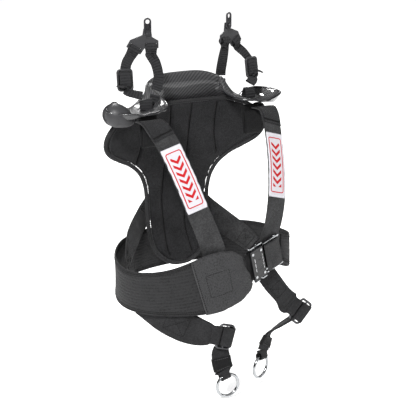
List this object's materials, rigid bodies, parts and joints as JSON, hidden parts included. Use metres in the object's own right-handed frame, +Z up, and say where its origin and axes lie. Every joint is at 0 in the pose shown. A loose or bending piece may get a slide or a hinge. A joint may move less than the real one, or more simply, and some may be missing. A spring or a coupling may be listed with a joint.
{
  "type": "head and neck restraint harness",
  "caption": "Wearable restraint harness: carbon shoulder yoke with helmet tethers, padded back plate, waist belt with quick-release buckle, shoulder straps and lap straps with rings.",
  "frame": {"origin": "middle of the wearer's torso at the height of the waist belt, which is the torso mount", "axes": "+Z up the wearer's back, -Y the way the wearer faces, +X towards the wearer's left"},
  "size_m": [0.3958, 0.2847, 0.7],
  "materials": {
    "carbon": "clear-coated 2x2 carbon twill",
    "roll_cover": "knitted cover over foam",
    "pad_fabric": "plain woven nylon",
    "foam": "open-cell foam",
    "edge_binding": "woven binding tape",
    "label": "woven satin label with a red border",
    "dark_webbing": "tight black webbing",
    "belt_webbing": "heavy ribbed belt webbing",
    "strap_webbing": "flat polyester webbing",
    "tether_webbing": "ribbed narrow webbing",
    "chrome": "polished",
    "black_steel": "black satin coating",
    "black_plastic": "moulded"
  },
  "bodies": {
    "harness": {"yoke_shell": "carbon", "shoulder_roll_right": "roll_cover", "shoulder_roll_left": "roll_cover", "back_pad_cover": "pad_fabric", "back_pad_foam": "foam", "back_pad_binding": "edge_binding", "shoulder_strap_right": "strap_webbing", "shoulder_strap_left": "strap_webbing", "strap_cuff_right": "dark_webbing", "strap_cuff_left": "dark_webbing", "strap_label_right": "label", "strap_label_left": "label", "strap_keeper_right": "dark_webbing", "strap_keeper_left": "dark_webbing", "belt_panel_right": "belt_webbing", "belt_panel_left": "belt_webbing", "belt_panel_back": "belt_webbing", "belt_cover_right": "pad_fabric", "belt_end_left": "strap_webbing", "back_strap_right": "strap_webbing", "back_strap_left": "strap_webbing", "lap_tab_right": "strap_webbing", "lap_tab_left": "strap_webbing", "buckle_base": "black_steel", "buckle_cover": "black_steel", "buckle_tongue": "chrome", "buckle_adjust_bar": "chrome", "buckle_spring_top": "chrome", "buckle_spring_bottom": "chrome", "buckle_rivets": "chrome", "tether_base_right": "dark_webbing", "tether_base_left": "dark_webbing", "tether_anchor_right": "black_steel", "tether_anchor_left": "black_steel", "anchor_screws": "chrome"},
    "tether_right": {"y_link_right": "black_plastic", "clip_rivet_right": "chrome", "tether_rear_right": "tether_webbing", "tether_front_right": "tether_webbing", "ladder_lock_right": "black_plastic", "tether_tail_right": "tether_webbing"},
    "head_clip_right": {"helmet_clip_right": "black_steel"},
    "lap_hanger_right": {"triglide_right": "black_steel", "ring_strap_right": "strap_webbing", "ring_sleeve_right": "dark_webbing"},
    "lap_ring_right": {"ring_right": "chrome"},
    "tether_left": {"y_link_left": "black_plastic", "clip_rivet_left": "chrome", "tether_rear_left": "tether_webbing", "tether_front_left": "tether_webbing", "ladder_lock_left": "black_plastic", "tether_tail_left": "tether_webbing"},
    "head_clip_left": {"helmet_clip_left": "black_steel"},
    "lap_hanger_left": {"triglide_left": "black_steel", "ring_strap_left": "strap_webbing", "ring_sleeve_left": "dark_webbing"},
    "lap_ring_left": {"ring_left": "chrome"},
    "release_top": {"buckle_clip_top": "chrome"},
    "release_bottom": {"buckle_clip_bottom": "chrome"}
  },
  "joints": [
    {"name": "tether_swing_right", "type": "hinge", "parent": "harness", "child": "tether_right", "pos_m": [-0.0985, 0.0465, 0.323], "axis": [-0.9317, -0.3306, -0.1503], "range_deg": [-14, 14]},
    {"name": "tether_swing_left", "type": "hinge", "parent": "harness", "child": "tether_left", "pos_m": [0.107, 0.0726, 0.327], "axis": [0.3774, -0.9146, -0.1452], "range_deg": [-14, 14]},
    {"name": "clip_turn_right", "type": "hinge", "parent": "tether_right", "child": "head_clip_right", "pos_m": [-0.0886, 0.072, 0.438], "axis": [-0.3007, -0.9537, 0], "range_deg": [-50, 50]},
    {"name": "clip_turn_left", "type": "hinge", "parent": "tether_left", "child": "head_clip_left", "pos_m": [0.0886, 0.072, 0.438], "axis": [0.3007, -0.9537, 0], "range_deg": [-50, 50]},
    {"name": "lap_swing_right", "type": "hinge", "parent": "harness", "child": "lap_hanger_right", "pos_m": [-0.056, -0.126, -0.107], "axis": [0.2301, -0.0748, 0.9703], "range_deg": [-30, 8]},
    {"name": "lap_swing_left", "type": "hinge", "parent": "harness", "child": "lap_hanger_left", "pos_m": [0.128, -0.117, -0.092], "axis": [0.6365, -0.0895, 0.766], "range_deg": [-30, 10]},
    {"name": "ring_swing_right", "type": "hinge", "parent": "lap_hanger_right", "child": "lap_ring_right", "pos_m": [-0.043, -0.128, -0.19], "axis": [0.9488, -0.0999, 0.2996], "range_deg": [-30, 30]},
    {"name": "ring_swing_left", "type": "hinge", "parent": "lap_hanger_left", "child": "lap_ring_left", "pos_m": [0.054, -0.11, -0.178], "axis": [0.927, 0.3605, -0.103], "range_deg": [-30, 30]},
    {"name": "release_press_top", "type": "slide", "parent": "harness", "child": "release_top", "axis": [0.2449, 0.0521, -0.9681], "range_m": [0, 0.003], "stiffness_N_per_m": 300, "springref_m": -0.001, "deforming": ["buckle_spring_top"]},
    {"name": "release_press_bottom", "type": "slide", "parent": "harness", "child": "release_bottom", "axis": [-0.2449, -0.0521, 0.9681], "range_m": [0, 0.003], "stiffness_N_per_m": 300, "springref_m": -0.001, "deforming": ["buckle_spring_bottom"]}
  ]
}
